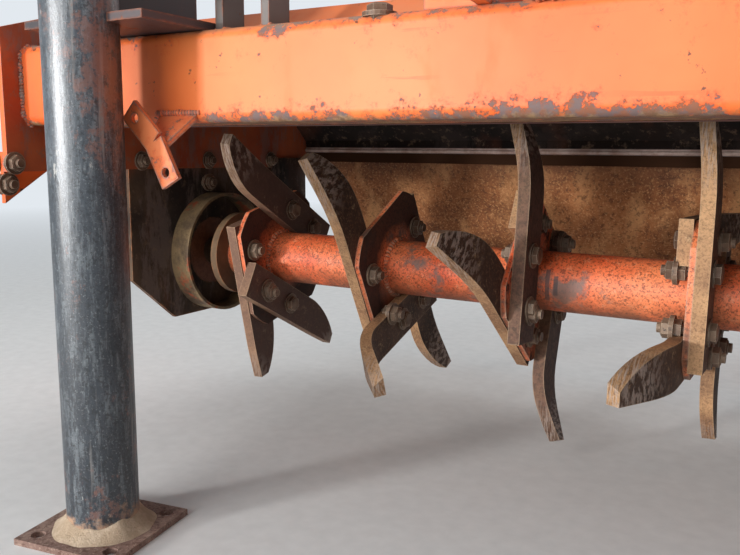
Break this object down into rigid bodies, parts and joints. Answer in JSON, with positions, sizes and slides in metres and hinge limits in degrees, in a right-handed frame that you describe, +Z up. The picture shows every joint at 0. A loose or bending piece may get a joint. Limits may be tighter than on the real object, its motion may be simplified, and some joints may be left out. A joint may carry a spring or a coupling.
{
  "type": "tractor rotavator",
  "caption": "Wide tractor-mounted rotary tiller with bent blades on a cross rotor under a hood, front box beam, side drive, trailing board, parking stands and a rear depth wheel.",
  "frame": {"origin": "on the ground, under the middle of the machine's box", "axes": "+X to the drive-case end, +Y to the rear, away from the tractor, +Z up"},
  "size_m": [2.406, 1.645, 1.326],
  "materials": {
    "orange_paint": "chipped and sun-faded",
    "orange_casting": "painted casting, oily dirt",
    "red_paint": "speckled with soil",
    "dirty_paint": "soil-stained",
    "dark_paint": "scratched, rusty at the foot",
    "black_paint": "satin",
    "rusty_plate": "rusty",
    "worn_steel": "worn, brown at the shank",
    "bare_steel": "dull",
    "rubber": "matt"
  },
  "bodies": {
    "frame": {"beam_clip": "orange_paint", "cross_shaft_tube": "orange_paint", "depth_wheel_arm": "orange_paint", "front_beam": "orange_paint", "front_brackets": "orange_paint", "gearbox": "orange_casting", "gearbox_plate": "orange_paint", "hanger_bracket": "bare_steel", "hinge_eyes": "orange_paint", "hinge_rail": "orange_paint", "hood": "dirty_paint", "hood_front_lip": "dirty_paint", "input_guard": "black_paint", "left_bearing_hub": "orange_casting", "lower_end_plates": "dirty_paint", "lower_link_brackets": "orange_paint", "lower_link_pins": "bare_steel", "mast_braces": "orange_paint", "mast_legs": "orange_paint", "rear_cross_beam": "orange_paint", "ring_guards": "dirty_paint", "side_drive_case": "orange_casting", "stand_brackets": "dark_paint", "stand_screws": "bare_steel", "upper_end_plates": "orange_paint"},
    "rotor": {"rotor_tube": "red_paint", "rotor_end_shafts": "red_paint", "blade_flanges": "red_paint", "left_bent_blades": "worn_steel", "right_bent_blades": "worn_steel"},
    "board": {"board_hinge_rod": "bare_steel", "trailing_board": "rusty_plate", "board_knuckles": "rusty_plate"},
    "left_stand": {"left_stand_pipe": "dark_paint", "left_stand_foot": "rusty_plate"},
    "right_stand": {"right_stand_pipe": "dark_paint", "right_stand_foot": "rusty_plate"},
    "drive_input": {"drive_input_shaft": "bare_steel"},
    "wheel_column": {"depth_wheel_column": "orange_paint", "depth_wheel_fork": "orange_paint"},
    "depth_wheel": {"depth_wheel_rim": "orange_paint", "depth_wheel_tyre": "rubber"}
  },
  "joints": [
    {"name": "rotor_spin", "type": "hinge", "parent": "frame", "child": "rotor", "pos_m": [0, -0.20012, 0.293], "axis": [1, 0, 0], "continuous": true},
    {"name": "drive_input_spin", "type": "hinge", "parent": "frame", "child": "drive_input", "pos_m": [0, -0.72013, 0.775], "axis": [0, -1, 0], "continuous": true},
    {"name": "board_hinge", "type": "hinge", "parent": "frame", "child": "board", "pos_m": [0, 0.12587, 0.486], "axis": [1, 0, 0], "range_deg": [-8, 35]},
    {"name": "left_stand_slide", "type": "slide", "parent": "frame", "child": "left_stand", "axis": [0, 0, 1], "range_m": [0, 0.28]},
    {"name": "right_stand_slide", "type": "slide", "parent": "frame", "child": "right_stand", "axis": [0, 0, 1], "range_m": [0, 0.28]},
    {"name": "depth_wheel_slide", "type": "slide", "parent": "frame", "child": "wheel_column", "axis": [0, 0, 1], "range_m": [0, 0.15]},
    {"name": "depth_wheel_spin", "type": "hinge", "parent": "wheel_column", "child": "depth_wheel", "pos_m": [0, 0.61987, 0.2], "axis": [1, 0, 0], "continuous": true}
  ],
  "couplings": [
    {"joint": "drive_input_spin", "follows": "rotor_spin", "ratio": 2.5}
  ]
}
